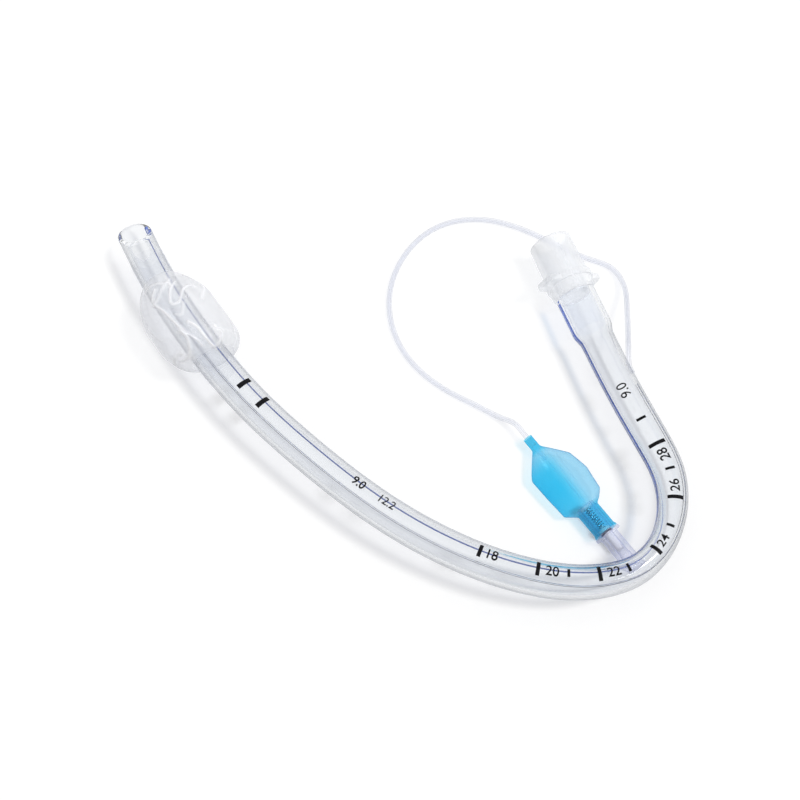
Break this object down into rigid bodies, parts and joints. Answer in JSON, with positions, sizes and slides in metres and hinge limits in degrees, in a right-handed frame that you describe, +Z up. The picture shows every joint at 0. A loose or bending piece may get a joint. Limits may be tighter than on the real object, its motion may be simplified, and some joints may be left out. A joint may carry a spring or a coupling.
{
  "type": "endotracheal tube",
  "caption": "Clear cuffed endotracheal tube lying in a curve, with a white connector, an inflation line and a blue pilot balloon with its valve.",
  "frame": {"origin": "on the bench, under the middle of the box around the shaft, cuff and connector", "axes": "+Z up from the bench. +X along the longest extent, from the cuffed tip towards the sharp bend. +Y towards the open side of the curve, where the tip and the connector point"},
  "size_m": [0.197, 0.1459, 0.0285],
  "materials": {
    "shaft": "clear soft PVC with a thin blue stripe in the wall",
    "cuff": "thin clear film with creases",
    "connector": "translucent white polypropylene",
    "line": "clear",
    "pilot": "translucent blue film",
    "valve": "clear with a lavender tint",
    "white": "opaque white",
    "seal": "dark rubber",
    "steel": "bright spring wire"
  },
  "bodies": {
    "body": {"tube": "shaft", "cuff": "cuff", "connector": "connector", "inflation_line": "line", "pilot_balloon": "pilot", "valve_body": "valve", "valve_spring": "steel", "valve_retainer": "white"},
    "plunger": {"valve_plunger": "white", "valve_seal": "seal"}
  },
  "joints": [
    {"name": "plunger_slide", "type": "slide", "parent": "body", "child": "plunger", "axis": [-0.6088, 0.7934, 0], "range_m": [0, 0.0015], "stiffness_N_per_m": 300, "deforming": ["valve_spring"]}
  ]
}
